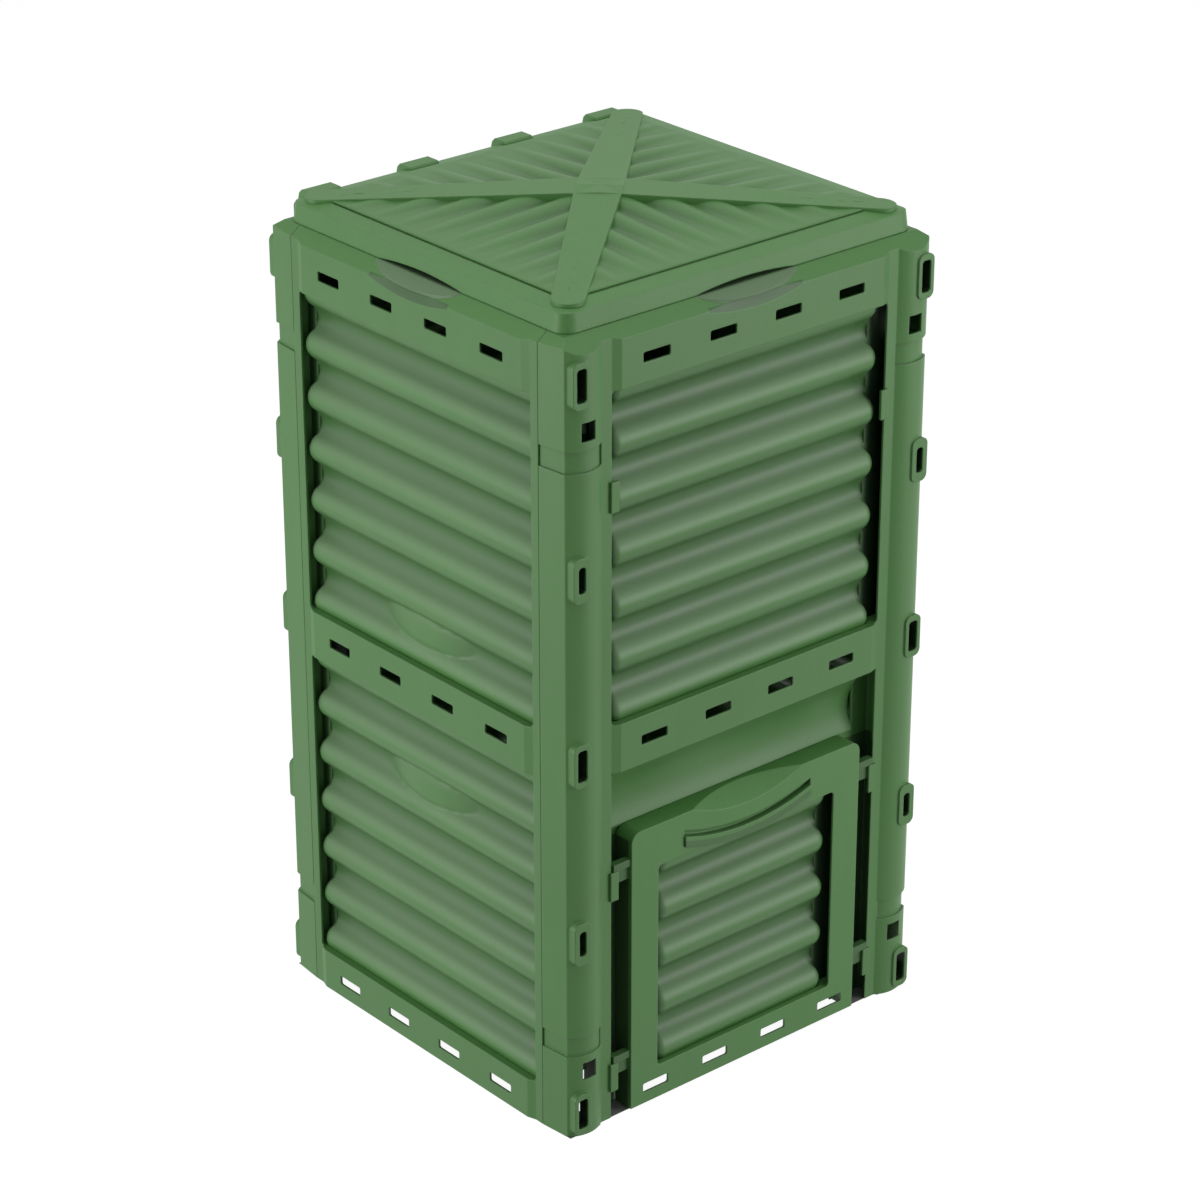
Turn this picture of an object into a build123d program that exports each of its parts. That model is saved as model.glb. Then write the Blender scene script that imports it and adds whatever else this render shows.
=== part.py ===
from build123d import *
import os
from math import asin, atan2, cos, degrees, hypot, sin

# Compost bin: four clipped walls, a lift-out door and a hinged lid. Millimetres, +Z up.
# The origin is on the ground at the middle of the footprint; the door faces -Y.

# Overall sizes
stile_width_x = 592          # across the stile planes of the left and right walls
stile_depth_y = 560          # across the stile planes of the front and back walls
body_height = 1061           # ground to the rim under the lid
wall = 3                     # moulded wall thickness
fit_gap = 0.3                # between pieces that only rest on each other
seam_gap = 0.8               # between a side wall and the columns
overrun = 20                 # how far a cutting shape runs past what it cuts

# Bands and windows, the same on all four walls
band_proud = 4               # bands stand this far in front of the stiles
bottom_band = 56
mid_band = 65
top_band = 77
chamfer_rise = 14            # the shoulder round the top of the walls
chamfer_run = 18
rim_width = 16               # flat rim that carries the lid
band_ramp = 12               # the bands' ends run out onto the stiles
window_corner = 6
front_stile_width = 16       # flat stile between a column and a window
side_stile_width = 14        # flat stile between a seam and a window

# Corner columns of the front and back walls
column_width = 58            # side plane to the valley beside the stile
column_bulge = 8.5           # the column's bowed face stands out this far
edge_back_x = 4              # the column's outer edge lies inside both planes
edge_back_y = 2
wrap_depth = 44              # how far the column wraps round the side
collar_height = 27           # shallow bands sunk round the columns
collar_sink = 2.5
collar_foot_rise = 115
collar_head_drop = 163

# Side walls
side_flange = 30             # inward flange down both edges of a side wall

# Vent slots in the bands
slot_length = 42
slot_height = 13
slot_corner = 1.5
slot_count = 4
slot_pitch_share = 0.4694    # of half the window's width
bottom_slot_z = 24.5

# Corrugated sheets in the windows
crest_sink = 5               # crests lie this far behind the stile plane
wave_height = 18
wave_pitch = 70
first_crest = 8              # lowest crest above the window's sill
lens_sink = 3                # troughs run this much deeper than the sheet's side strips
sheet_back = 2               # depth of the rib where sheet and strip meet
front_nose_inset = 5         # the ridges' round noses end inside the front window's side
front_lens_inset = 14        # the side strips start this far inside it
strip_reach = 2              # side strips end this far past the valley
side_nose_reach = 7          # the side walls' ridges run on behind the stiles
side_lens_inset = 7

# Corner bosses, their slots and the square latch holes
boss_inset = 19.7            # boss centre inside the side plane
boss_proud = 11              # boss face in front of the stile plane
boss_width = 26
boss_height = 58
boss_corner = 9
boss_depth = 16
boss_foot_rise = 33.2        # middle of the lowest boss above the ground
boss_head_drop = 53.4        # middle of the highest boss below the rim
boss_count = 5
wide_slot = (15, 42)
slim_slot = (11, 34)
slot_chamfer = 2.8
latch_inset = 32.5
latch_hole = (21, 24)
latch_foot_rise = 92
latch_head_drop = 113

# Hooks and latch tongues on the side walls
hook_width = 8
hook_height = 16
hook_lift = 1.5              # hook above the foot of its slot
hook_short = 12              # hook tip behind the boss face
hook_nose = 4
tongue_width = 15
tongue_height = 18
tongue_short = 16            # tongue's end behind the column's face

# Hand scoops under the lid, front, left and right
scoop_half = 80
scoop_reach = 22
scoop_lip = 3.5
scoop_drop = 8               # front edge of the scoop's shelf below the rim
cove_half = 75
cove_top_drop = 16.5
cove_bottom_drop = 26
cove_depth = 4.4

# Plain lens-shaped pads in two troughs of the left wall
pad_half = 95
pad_rise = 22.5
pad_sink = 9

# Door
door_side_gap = 29           # door's side to the opening's side
door_bottom = 3
door_head_gap = 91.5         # door's top to the middle band
door_proud = 5               # door face in front of the stile plane
door_depth = 30
door_corner = 14
door_stile_width = 44
door_sill = 50
door_rail_height = 58
door_wave_pitch = 68
door_first_crest = 12
door_nose_inset = 4
door_lens_inset = 12
door_slot_z = 25
door_slot_pitch_share = 0.5233   # of half the door's width

# Door handle: a dipped top edge, with a grip groove and ledge below it
handle_half = 107
handle_dip = 21
groove_top_drop = 21         # door's front top edge to the groove
groove_height = 8
ledge_height = 15
groove_sink = 7
ledge_proud = 3
grip_dip = 18

# Guide tabs on the front wall and the door lugs behind them
tab_height = 39
tab_reach = 9
tab_seat = 3
tab_thick = 3.5
tab_foot_rise = 40
tab_door_drop = 83           # middle tab's foot below the door's top
tab_head_drop = 229          # highest tab's foot below the rim
lug_height = 28
lug_overlap = 18.5           # lug shank behind the tab
lug_thick = 6.5
lug_gap = 0.5
lug_end_gap = 2

# Door frame behind the door
jamb_gap = 3                 # jamb behind the door's back
jamb_lap = 8                 # the hatch is narrower than the door by this, each side
hatch_lap = 11               # the hatch ends this far below the door's top
recess_inset = 14            # the concave head above the door, inside the opening's side
recess_gap = 1               # door's top to the recess
recess_low_depth = 26        # depths of the concave head behind the stile plane
recess_mid_depth = 34
recess_top_depth = 1
recess_mid_rise = 31
recess_swell = 14            # the recess skin's back bulges up by this much

# Lid
lid_inset = 16               # lid inside the stile planes
lid_corner = 20
lid_skirt = 23.7
lid_draft = 3                # the skirt leans in by this much
border_width = 24
border_rise = 5
border_corner = 6
groove_width = 3
lid_groove_depth = 2
pyramid_rise = 9
skirt_arch = 6

# Ridges on the lid's four slopes
ridge_pitch = 43
ridge_height = 8             # of the longest ridge at the straps; ridges fade out at the border
ridge_span = 42              # width of a ridge where it is highest
ridge_reach_share = 0.92     # no ridge stands further out along a slope

# Cross brace
brace_half_width = 30
brace_end_half = 20
brace_corner_gap = 22.8      # strap's end to the square corner of the lid
brace_top_rise = 51          # top of the crossing above the rim
brace_end_rise = 31

# Lid hinge
hinge_inset = 8              # hinge axis inside the back stile plane
hinge_rise = 8               # hinge axis above the rim
barrel_radius = 7.5
pin_radius = 3.5
pin_play = 0.05
pin_stub = 0.8
knuckle_width = 45
knuckle_pitch_share = 0.5479 # of half the lid's width
knuckle_count = 4
knuckle_rise = 30            # top of the lug above the rim
knuckle_reach = 27           # lug's front face before the axis
knuckle_tail = 3             # lug's back face behind the axis
knuckle_chamfer = 5
ear_width = 5
ear_gap = 0.5
ear_foot = 14
ear_foot_reach = 5

# Worked-out planes across the walls
half_x = stile_width_x / 2
half_y = stile_depth_y / 2
seam_y = half_y - wrap_depth
valley_x = half_x - column_width
window_half = valley_x - front_stile_width
front_nose_half = window_half - front_nose_inset
front_lens_half = window_half - front_lens_inset
front_strip_half = valley_x + strip_reach
side_window_half = seam_y - side_stile_width
side_nose_half = side_window_half + side_nose_reach
side_lens_half = side_window_half - side_lens_inset
door_half = window_half - door_side_gap
door_window_half = door_half - door_stile_width
door_nose_half = door_window_half - door_nose_inset
door_lens_half = door_window_half - door_lens_inset
door_strip_half = door_half - wall
jamb_half = door_half - jamb_lap
recess_half = window_half - recess_inset
slope = chamfer_rise / chamfer_run
rim_inner_x = half_x + band_proud - chamfer_run - rim_width
rim_inner_y = half_y + band_proud - chamfer_run - rim_width
strip_sink = crest_sink + wave_height - lens_sink

# Worked-out levels
window_height = (body_height - bottom_band - mid_band - top_band) / 2
mid_band_low = bottom_band + window_height
mid_band_high = mid_band_low + mid_band
top_band_low = mid_band_high + window_height
shoulder_z = body_height - chamfer_rise
boss_pitch = (body_height - boss_foot_rise - boss_head_drop) / (boss_count - 1)
collar_levels = (collar_foot_rise, body_height - collar_head_drop)
latch_levels = (latch_foot_rise, body_height - latch_head_drop)
door_top = mid_band_low - door_head_gap
door_head = door_top - door_rail_height
hatch_top = door_top - hatch_lap
recess_bottom = door_top + recess_gap
recess_mid_z = recess_bottom + recess_mid_rise
tab_low_z = tab_foot_rise
tab_mid_z = door_top - tab_door_drop
tab_high_z = body_height - tab_head_drop

# Worked-out lid and hinge
lid_half_x = half_x - lid_inset
lid_half_y = half_y - lid_inset
lid_base = body_height + fit_gap
border_z = lid_base + lid_skirt
pyramid_x = lid_half_x - lid_draft - border_width
pyramid_y = lid_half_y - lid_draft - border_width
pyramid_z = border_z + border_rise
apex_z = pyramid_z + pyramid_rise
brace_reach = hypot(lid_half_x, lid_half_y) - brace_corner_gap
hinge_y = half_y - hinge_inset
hinge_z = body_height + hinge_rise
knuckle_pitch = lid_half_x * knuckle_pitch_share


def block(x0, x1, y0, y1, z0, z1):
    """Rectangular block between two corners."""
    middle = Pos((x0 + x1) / 2, (y0 + y1) / 2, (z0 + z1) / 2)
    return middle * Box(x1 - x0, y1 - y0, z1 - z0)


def push(face, front_y, back_y):
    """A shape drawn in X and Z, made solid from front_y back to back_y."""
    return extrude(Plane.XZ.offset(-front_y) * face, amount=front_y - back_y)


def run_x(face, half):
    """A section drawn in Y and Z, made solid for half to each side of the middle."""
    return extrude(Plane.YZ * face, amount=half, both=True)


def rise(face, z0, z1):
    """A plan shape made solid from z0 up to z1."""
    return extrude(Plane.XY.offset(z0) * face, amount=z1 - z0)


def outline(*edges):
    """Closed face from edges given in order."""
    return make_face(list(edges))


def polygon(*points):
    """Closed face with straight sides."""
    return make_face(Polyline(*points, close=True).edges())


def turned(shape, angle):
    """The shape turned about the upright axis of the bin."""
    return Rot(0, 0, angle) * shape


def wrap_plan(inset, back_y):
    """Plan of a wrap-round wall: flat face, bowed corner columns and side strips, moved in by inset."""
    side = half_x - inset
    edge = (half_x - edge_back_x - inset, edge_back_y + inset - half_y)
    valley = (valley_x, inset - half_y)
    apex = ((valley_x + half_x - edge_back_x) / 2, inset - half_y - column_bulge)
    mirror_edge = (-edge[0], edge[1])
    mirror_valley = (-valley_x, valley[1])
    edges = [
        Line((-side, -seam_y), mirror_edge),
        ThreePointArc(mirror_edge, (-apex[0], apex[1]), mirror_valley),
        Line(mirror_valley, valley),
        ThreePointArc(valley, apex, edge),
        Line(edge, (side, -seam_y)),
    ]
    if back_y > -seam_y:
        edges.append(Line((side, -seam_y), (side, back_y)))
        edges.append(Line((-side, back_y), (-side, -seam_y)))
    edges.append(Line((side, back_y), (-side, back_y)))
    return outline(*edges)


def shoulder(face_distance, drop):
    """Section in Y and Z of the space under the sloping shoulder of a wall, lowered by drop."""
    far = face_distance + band_proud + overrun
    return polygon(
        (-far, -overrun),
        (-far, shoulder_z - slope * overrun - drop),
        (chamfer_run - face_distance - band_proud, body_height - drop),
        (far, body_height - drop),
        (far, -overrun),
    )


def under_shoulders(drop):
    """The space under the front and both side shoulders."""
    front = run_x(shoulder(half_y, drop), half_x + overrun)
    left = turned(run_x(shoulder(half_x, drop), half_y + overrun), -90)
    right = turned(run_x(shoulder(half_x, drop), half_y + overrun), 90)
    return front & left & right


def wave_section(face_y, low, pitch, rise_to_first, count, inset):
    """Section of all that lies behind a wavy skin of tangent arcs, moved in by inset."""
    quarter = pitch / 4
    radius = (quarter ** 2 + (wave_height / 2) ** 2) / wave_height
    turn = asin(quarter / radius)
    crest_y = face_y + crest_sink
    crest_radius = radius - inset
    trough_radius = radius + inset
    joint_y = crest_y + radius - crest_radius * cos(turn)
    joint_z = crest_radius * sin(turn)
    trough_y = crest_y + wave_height + inset
    back_y = crest_y + wave_height + wall + sheet_back
    edges = []
    for index in range(-1, count + 1):
        crest_z = low + rise_to_first + index * pitch
        next_joint = crest_z + pitch - joint_z
        below = (joint_y, crest_z - joint_z)
        above = (joint_y, crest_z + joint_z)
        edges.append(ThreePointArc(below, (crest_y + inset, crest_z), above))
        edges.append(ThreePointArc(above, (trough_y, crest_z + pitch / 2), (joint_y, next_joint)))
    start_z = low + rise_to_first - pitch - joint_z
    end_z = low + rise_to_first + (count + 1) * pitch - joint_z
    edges.append(Line((joint_y, end_z), (back_y, end_z)))
    edges.append(Line((back_y, end_z), (back_y, start_z)))
    edges.append(Line((back_y, start_z), (joint_y, start_z)))
    return outline(*edges)


def corrugated_sheet(face_y, low, high, pitch, rise_to_first, nose_half, lens_half, strip_half):
    """Even-walled corrugated sheet: round-nosed ridges, side strips, and returns to the face."""
    count = int((high - low) / pitch)
    crest_y = face_y + crest_sink
    strip_y = face_y + strip_sink
    back_y = crest_y + wave_height + wall + sheet_back
    nose = strip_sink - crest_sink
    plan = Rectangle(2 * nose_half, back_y + overrun - crest_y)
    plan = Pos(0, (crest_y + back_y + overrun) / 2) * plan
    plan = fillet(plan.vertices().sort_by(Axis.Y)[:2], nose)
    skin = run_x(wave_section(face_y, low, pitch, rise_to_first, count, 0), nose_half)
    skin &= rise(plan, low - pitch, high + pitch)
    core = run_x(wave_section(face_y, low, pitch, rise_to_first, count, wall), nose_half - nose)
    for side in (-1, 1):
        inner, outer = sorted((side * lens_half, side * strip_half))
        skin += block(inner, outer, strip_y, back_y, low - wall, high + wall)
        inner, outer = sorted((side * (lens_half + wall), side * (strip_half + overrun)))
        core += block(inner, outer, strip_y + wall, back_y + overrun, low, high)
    sheet = skin - core
    sheet &= block(-strip_half, strip_half, crest_y, back_y, low, high)
    sheet += block(-strip_half, strip_half, face_y, back_y, low - wall, low)
    sheet += block(-strip_half, strip_half, face_y, back_y, high, high + wall)
    return sheet


def window(face_y, half, low, high):
    """Cutting shape for a round-cornered window through a face."""
    middle = Pos(0, (low + high) / 2)
    face = middle * RectangleRounded(2 * half, high - low, window_corner)
    return push(face, face_y - overrun, face_y + wall)


def slot_face(width, height, corner):
    """Outline of a slot whose corners are cut off."""
    return chamfer(Rectangle(width, height).vertices(), corner)


def band_plate(face_y, half, low, high):
    """Band plate proud of the stiles; its ends run out onto them."""
    plan = polygon(
        (-half, face_y),
        (band_ramp - half, face_y - band_proud),
        (half - band_ramp, face_y - band_proud),
        (half, face_y),
        (half, face_y + wall),
        (-half, face_y + wall),
    )
    return rise(plan, low, high)


def band_hollow(face_y, half, low, high):
    """Cutting shape that leaves a band plate one wall thick, seen from behind."""
    reach = half - band_ramp - wall
    return block(-reach, reach, face_y - band_proud + wall, face_y + overrun / 2, low + wall, high - wall)


def vent_slots(face_y, height, pitch):
    """Cutting shapes for one row of vent slots."""
    row = []
    for index in range(slot_count):
        place = Pos((index - (slot_count - 1) / 2) * pitch, height)
        face = place * slot_face(slot_length, slot_height, slot_corner)
        row.append(push(face, face_y - overrun, face_y + overrun / 2))
    return row


def arc_strip(half, top_end, top_mid, low_end, low_mid):
    """Face between two arcs of equal width: the upper one and the lower one."""
    return outline(
        ThreePointArc((-half, top_end), (0, top_mid), (half, top_end)),
        Line((half, top_end), (half, low_end)),
        ThreePointArc((half, low_end), (0, low_mid), (-half, low_end)),
        Line((-half, low_end), (-half, top_end)),
    )


def add_scoop(panel, face_distance):
    """Hand scoop under the lid: a half-moon shelf with a shallow cove below it."""
    face_y = -(face_distance + band_proud)
    centre_y = face_y + scoop_reach
    lower_z = body_height - cove_bottom_drop
    rise_of_arc = cove_bottom_drop - cove_top_drop
    ring = (cove_half ** 2 + rise_of_arc ** 2) / (2 * rise_of_arc)
    shelf_z = body_height - scoop_drop - scoop_lip
    reach = ring ** 2 - (ring - (shelf_z - lower_z)) ** 2
    back = (reach - cove_depth ** 2) / (2 * cove_depth)
    ball = Pos(0, face_y - back, lower_z + ring) * Sphere(hypot(ring, back))
    cove = ball & block(-scoop_half, scoop_half, face_y - wall, centre_y, lower_z, shelf_z)
    moon = Pos(0, centre_y) * Ellipse(scoop_half, scoop_reach)
    wedge = polygon(
        (face_y - wall, shelf_z),
        (face_y - wall, body_height - scoop_drop - slope * wall),
        (face_y + chamfer_run, body_height),
        (centre_y, body_height),
        (centre_y, shelf_z),
    )
    shelf = rise(moon, shelf_z, body_height) & run_x(wedge, scoop_half)
    return panel - cove + shelf


def add_bands(panel, face_distance, half, levels):
    """Proud bands across a wall; the top one runs up over the shoulder."""
    face_y = -face_distance
    for low, high in levels:
        panel += band_plate(face_y, half, low, high)
        panel -= band_hollow(face_y, half, low, high)
    top = band_plate(face_y, half, top_band_low, body_height)
    panel += top & run_x(shoulder(face_distance, 0), half)
    return panel - band_hollow(face_y, half, top_band_low, body_height - cove_bottom_drop)


def wrap_shell():
    """Hollow wrap-round wall with its rim and sunk collars, before bands and windows."""
    shell = rise(wrap_plan(0, -seam_y), 0, body_height) & under_shoulders(0)
    inside = rise(wrap_plan(wall, overrun - seam_y), -overrun, body_height) & under_shoulders(wall)
    rim_hole = block(
        -rim_inner_x, rim_inner_x, -rim_inner_y, rim_inner_y, shoulder_z, body_height + overrun
    )
    shell -= inside + rim_hole
    for low in collar_levels:
        high = low + collar_height
        deep = collar_sink + wall
        middle = block(-valley_x, valley_x, -half_y - overrun, half_y, low, high)
        sunk = rise(wrap_plan(collar_sink, overrun), low, high)
        groove = rise(wrap_plan(-overrun, -seam_y), low, high) - sunk
        lining = rise(wrap_plan(collar_sink, -seam_y), low, high)
        lining -= rise(wrap_plan(deep, overrun), low, high)
        shell -= groove - middle
        shell += lining - middle
    return shell


def add_bosses(panel):
    """Clip bosses with their slots, and the square latch holes, down both columns."""
    face_y = -half_y - boss_proud
    cuts = []
    for side in (-1, 1):
        x = side * (half_x - boss_inset)
        for index in range(boss_count):
            place = Pos(x, boss_foot_rise + index * boss_pitch)
            pad = place * RectangleRounded(boss_width, boss_height, boss_corner)
            panel += push(pad, face_y, face_y + boss_depth)
            width, height = slim_slot if index % 2 else wide_slot
            hole = place * slot_face(width, height, slot_chamfer)
            cuts.append(push(hole, face_y - overrun, face_y + boss_depth + wall))
        for height in latch_levels:
            place = Pos(side * (half_x - latch_inset), height)
            hole = place * Rectangle(*latch_hole)
            cuts.append(push(hole, face_y - overrun, face_y + boss_depth))
    return panel - cuts


def door_frame():
    """Jambs behind the door and the concave head above it."""
    front = door_depth - door_proud + jamb_gap - half_y
    back = front + wall
    plate = block(-front_strip_half, front_strip_half, front, back, 0, mid_band_low)
    hatch = block(-jamb_half, jamb_half, front - wall, back + wall, -overrun, hatch_top)
    head = block(-recess_half, recess_half, front - wall, back + wall, recess_bottom, mid_band_low)
    frame = plate - hatch - head
    for side in (-1, 1):
        inner, outer = sorted((side * (front_strip_half - wall), side * front_strip_half))
        frame += block(inner, outer, -half_y, back, 0, mid_band_low)
    top_point = (recess_top_depth - half_y, mid_band_low)
    mid_point = (recess_mid_depth - half_y, recess_mid_z)
    low_point = (recess_low_depth - half_y, recess_bottom)
    skin = outline(
        ThreePointArc(top_point, mid_point, low_point),
        Line(low_point, (low_point[0], recess_bottom - wall)),
        Line((low_point[0], recess_bottom - wall), (back, recess_bottom - wall)),
        Line((back, recess_bottom - wall), (mid_point[0] + wall, recess_mid_z - wall)),
        ThreePointArc(
            (mid_point[0] + wall, recess_mid_z - wall),
            (mid_point[0] + wall / 2, recess_mid_z + recess_swell),
            (top_point[0] + wall, mid_band_low + wall),
        ),
        Line((top_point[0] + wall, mid_band_low + wall), top_point),
    )
    return frame + run_x(skin, recess_half)


def front_panel():
    """Front wall: one corrugated window above the door opening."""
    panel = wrap_shell()
    panel -= block(-window_half, window_half, -half_y - overrun, -half_y + wall, -overrun, mid_band_low)
    panel -= window(-half_y, window_half, mid_band_high, top_band_low)
    panel += corrugated_sheet(
        -half_y, mid_band_high, top_band_low, wave_pitch, first_crest,
        front_nose_half, front_lens_half, front_strip_half,
    )
    panel = add_bands(panel, half_y, window_half, [(mid_band_low, mid_band_high)])
    panel += door_frame()
    for height in slot_levels()[1:]:
        panel -= vent_slots(-half_y, height, window_half * slot_pitch_share)
    return add_bosses(add_scoop(panel, half_y))


def slot_levels():
    """Heights of the three slot rows of a wall with two windows."""
    return (bottom_slot_z, mid_band_low + mid_band / 2, (top_band_low + shoulder_z) / 2)


def two_windows(panel, face_distance, half, nose_half, lens_half, strip_half):
    """Cut both windows, fit their sheets, and add the three bands with slots."""
    for low in (bottom_band, mid_band_high):
        high = low + window_height
        panel -= window(-face_distance, half, low, high)
        panel += corrugated_sheet(
            -face_distance, low, high, wave_pitch, first_crest, nose_half, lens_half, strip_half
        )
    panel = add_bands(panel, face_distance, half, [(0, bottom_band), (mid_band_low, mid_band_high)])
    for height in slot_levels():
        panel -= vent_slots(-face_distance, height, half * slot_pitch_share)
    return panel


def back_panel():
    """Back wall: two corrugated windows, and the shoulder that carries the hinge."""
    panel = two_windows(
        wrap_shell(), half_y, window_half, front_nose_half, front_lens_half, front_strip_half
    )
    return turned(add_bosses(panel), 180)


def side_wall():
    """Flat side wall, drawn as if it faced the front, with inward edge flanges."""
    half = seam_y - seam_gap
    shell = block(-half, half, -half_x, side_flange - half_x, 0, body_height)
    inside = block(wall - half, half - wall, wall - half_x, overrun, -overrun, body_height)
    shell &= run_x(shoulder(half_x, 0), half)
    inside &= run_x(shoulder(half_x, wall), half)
    rim_hole = block(-half, half, -rim_inner_x, overrun, shoulder_z, body_height + overrun)
    panel = shell - inside - rim_hole
    panel = two_windows(panel, half_x, side_window_half, side_nose_half, side_lens_half, half - wall)
    return add_scoop(panel, half_x)


def add_pads(panel):
    """Plain lens-shaped pads in the troughs next to the middle band; their ends sink into the skin."""
    face_y = pad_sink - half_x
    back_y = crest_sink + wave_height + wall - half_x
    lens = outline(
        ThreePointArc((-pad_half, back_y), (0, face_y), (pad_half, back_y)),
        Line((pad_half, back_y), (-pad_half, back_y)),
    )
    count = int(window_height / wave_pitch)
    for low, ridge in ((bottom_band, count - 2), (mid_band_high, 0)):
        trough = low + first_crest + (ridge + 1 / 2) * wave_pitch
        section = wave_section(-half_x, low, wave_pitch, first_crest, count, wall / 2)
        panel += rise(lens, trough - pad_rise, trough + pad_rise) - run_x(section, pad_half + overrun)
    return panel


def clip_levels():
    """Centre height and slot height of each boss in a column."""
    levels = []
    for index in range(boss_count):
        slot = slim_slot if index % 2 else wide_slot
        levels.append((boss_foot_rise + index * boss_pitch, slot[1]))
    return levels


def panel_hooks(side):
    """Hooks on both edge flanges of one side wall; their tips sit in the boss slots."""
    x = side * (half_x - boss_inset)
    base = seam_y - seam_gap
    tip = half_y + boss_proud - hook_short
    hooks = []
    for height, slot in clip_levels():
        low = height - slot / 2 + hook_lift
        section = polygon(
            (base, low),
            (tip, low),
            (tip, low + hook_height - hook_nose),
            (tip - hook_nose, low + hook_height),
            (base, low + hook_height),
        )
        hook = Pos(x, 0, 0) * run_x(section, hook_width / 2)
        hooks += [hook, mirror(hook, about=Plane.XZ)]
    return Compound(hooks)


def latch_tongues(side):
    """Latch tongues of one side wall, ending behind the square holes."""
    x = side * (half_x - latch_inset)
    base = seam_y - seam_gap
    tip = half_y + column_bulge - tongue_short
    tongues = []
    for height in latch_levels:
        low = height - tongue_height / 2
        tongue = block(x - tongue_width / 2, x + tongue_width / 2, base, tip, low, low + tongue_height)
        tongues += [tongue, mirror(tongue, about=Plane.XZ)]
    return Compound(tongues)


def door_guide_tabs():
    """Six tabs on the front wall's stiles: two pairs for the door, one pair to park it on."""
    tabs = []
    for side in (-1, 1):
        for low in (tab_low_z, tab_mid_z, tab_high_z):
            inner, outer = sorted((side * (window_half - tab_reach), side * (window_half + tab_seat)))
            tabs.append(block(inner, outer, -half_y - tab_thick, -half_y, low, low + tab_height))
    return Compound(tabs)


def door_lugs():
    """Four lugs on the door's sides: a shank behind the tab and a head that rests on it."""
    lugs = []
    for side in (-1, 1):
        inner, outer = sorted((side * door_half, side * (window_half - lug_end_gap)))
        for tab_low in (tab_low_z, tab_mid_z):
            seat = tab_low + tab_height + fit_gap
            low = seat - lug_overlap
            front = lug_gap - half_y
            shank = block(inner, outer, front, front + lug_thick, low, low + lug_height)
            head = block(inner, outer, front - tab_thick, front, seat, low + lug_height)
            lugs.append(shank + head)
    return Compound(lugs)


def dip_cylinder(front_y, extra):
    """Leaning cylinder that scoops the door's top edge, deepest at the front."""
    radius = (handle_half ** 2 + handle_dip ** 2) / (2 * handle_dip)
    lean = atan2(handle_dip, door_depth - 2 * wall)
    direction = (0, cos(lean), sin(lean))
    bottom = Vector(0, front_y, door_top - handle_dip)
    normal = Vector(0, -sin(lean), cos(lean))
    origin = bottom + normal * radius
    rod = Cylinder(radius + extra, 4 * door_depth)
    return Plane(origin=origin, x_dir=(1, 0, 0), z_dir=direction) * rod


def door_outline(inset):
    """Front outline of the door: square foot and rounded top corners, moved in by inset."""
    half = door_half - inset
    low = door_bottom if inset == 0 else door_bottom - overrun
    face = Pos(0, (low + door_top - inset) / 2) * Rectangle(2 * half, door_top - inset - low)
    return fillet(face.vertices().sort_by(Axis.Y)[-2:], door_corner - inset)


def grip_face(half, top_drop, low_drop):
    """Arched strip on the door's front, between two drops below the dipped top edge."""
    top = door_top - handle_dip - top_drop
    low = door_top - handle_dip - low_drop
    return arc_strip(half, top + grip_dip, top, low + grip_dip, low)


def door_panel():
    """Lift-out door: hollow shell, corrugated window, dipped top edge and slots."""
    front = -half_y - door_proud
    back = front + door_depth
    body = push(door_outline(0), front, back) - dip_cylinder(front, 0)
    hollow = push(door_outline(wall), front + wall, back + overrun) - dip_cylinder(front, wall)
    door = body - hollow
    foot = block(wall - door_half, door_half - wall, front, back, door_bottom, door_bottom + wall)
    door += foot
    door -= window(front, door_window_half, door_sill, door_head)
    door += corrugated_sheet(
        front, door_sill, door_head, door_wave_pitch, door_first_crest,
        door_nose_half, door_lens_half, door_strip_half,
    )
    bottom_drop = groove_top_drop + groove_height + ledge_height
    grip = grip_face(handle_half, groove_top_drop, bottom_drop)
    door -= push(grip, front - overrun, front + groove_sink + wall)
    door -= vent_slots(front, door_slot_z, door_half * door_slot_pitch_share)
    return door


def door_handle():
    """Grip groove and finger ledge, set into the arched opening in the door's face."""
    front = -half_y - door_proud
    back = front + groove_sink + wall
    half = handle_half - fit_gap
    ledge_top = groove_top_drop + groove_height
    ledge_low = ledge_top + ledge_height
    floor = push(grip_face(half, groove_top_drop + fit_gap, ledge_low - fit_gap), front + groove_sink, back)
    ledge = push(grip_face(half, ledge_top, ledge_low - fit_gap), front - ledge_proud, back)
    return floor + ledge


def lid_envelope():
    """Outer shape of the lid without its ridges: leaning skirt, sloping border, flat pyramid."""
    foot = Plane.XY.offset(lid_base) * RectangleRounded(2 * lid_half_x, 2 * lid_half_y, lid_corner)
    edge_x = lid_half_x - lid_draft
    edge_y = lid_half_y - lid_draft
    edge = Plane.XY.offset(border_z) * RectangleRounded(2 * edge_x, 2 * edge_y, lid_corner - lid_draft)
    inner = Plane.XY.offset(pyramid_z) * RectangleRounded(2 * pyramid_x, 2 * pyramid_y, border_corner)
    return loft([foot, edge]) + loft([edge, inner])


def roof(half, z, top):
    """Section of a low roof: a triangle above a deep base."""
    return polygon((-half, z - lid_skirt), (half, z - lid_skirt), (half, z), (0, top), (-half, z))


def pyramid(drop, inset):
    """Low pyramid from two crossing roofs, lowered by drop and moved in by inset."""
    scale = 1 - inset / pyramid_y
    reach_y = pyramid_y * scale
    reach_x = pyramid_x * scale
    low = pyramid_z - drop + pyramid_rise * (1 - scale)
    along_x = run_x(roof(reach_y, low, apex_z - drop), reach_x)
    along_y = turned(run_x(roof(reach_x, low, apex_z - drop), reach_y), 90)
    return along_x & along_y


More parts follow.
